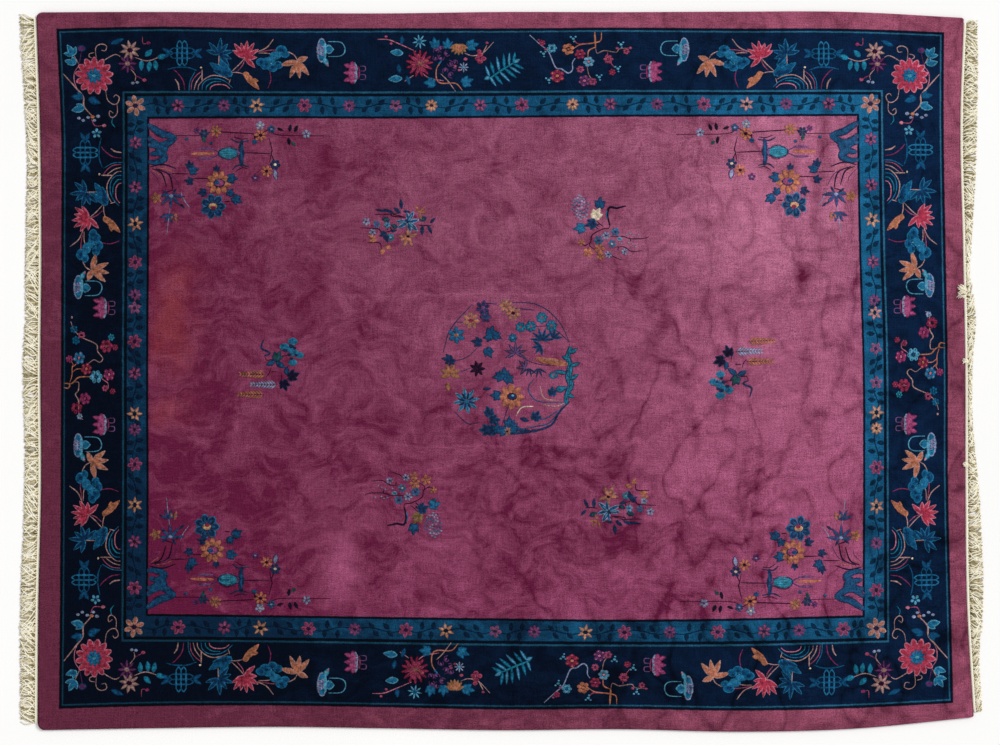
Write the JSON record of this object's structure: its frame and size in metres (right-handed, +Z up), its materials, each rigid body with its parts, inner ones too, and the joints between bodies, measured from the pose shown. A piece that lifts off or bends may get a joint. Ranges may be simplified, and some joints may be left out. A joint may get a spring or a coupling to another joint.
{
  "type": "chinese art deco rug",
  "caption": "Room-size knotted wool rug lying flat, plum field with blue floral borders and a cream cotton fringe at each end.",
  "frame": {"origin": "on the floor, under the middle of the whole rug's box, fringes included", "axes": "+X along the rug's length from one fringe to the other, +Y across it, +Z up out of the pile"},
  "size_m": [3.6952, 2.7534, 0.0161],
  "materials": {
    "wool_pile": "cut wool pile, plum field and edge with navy and teal borders",
    "cotton_fringe": "undyed cotton web and twisted strands"
  },
  "bodies": {
    "root": {"pile": "wool_pile", "fringe_left": "cotton_fringe", "fringe_right": "cotton_fringe"}
  },
  "joints": []
}
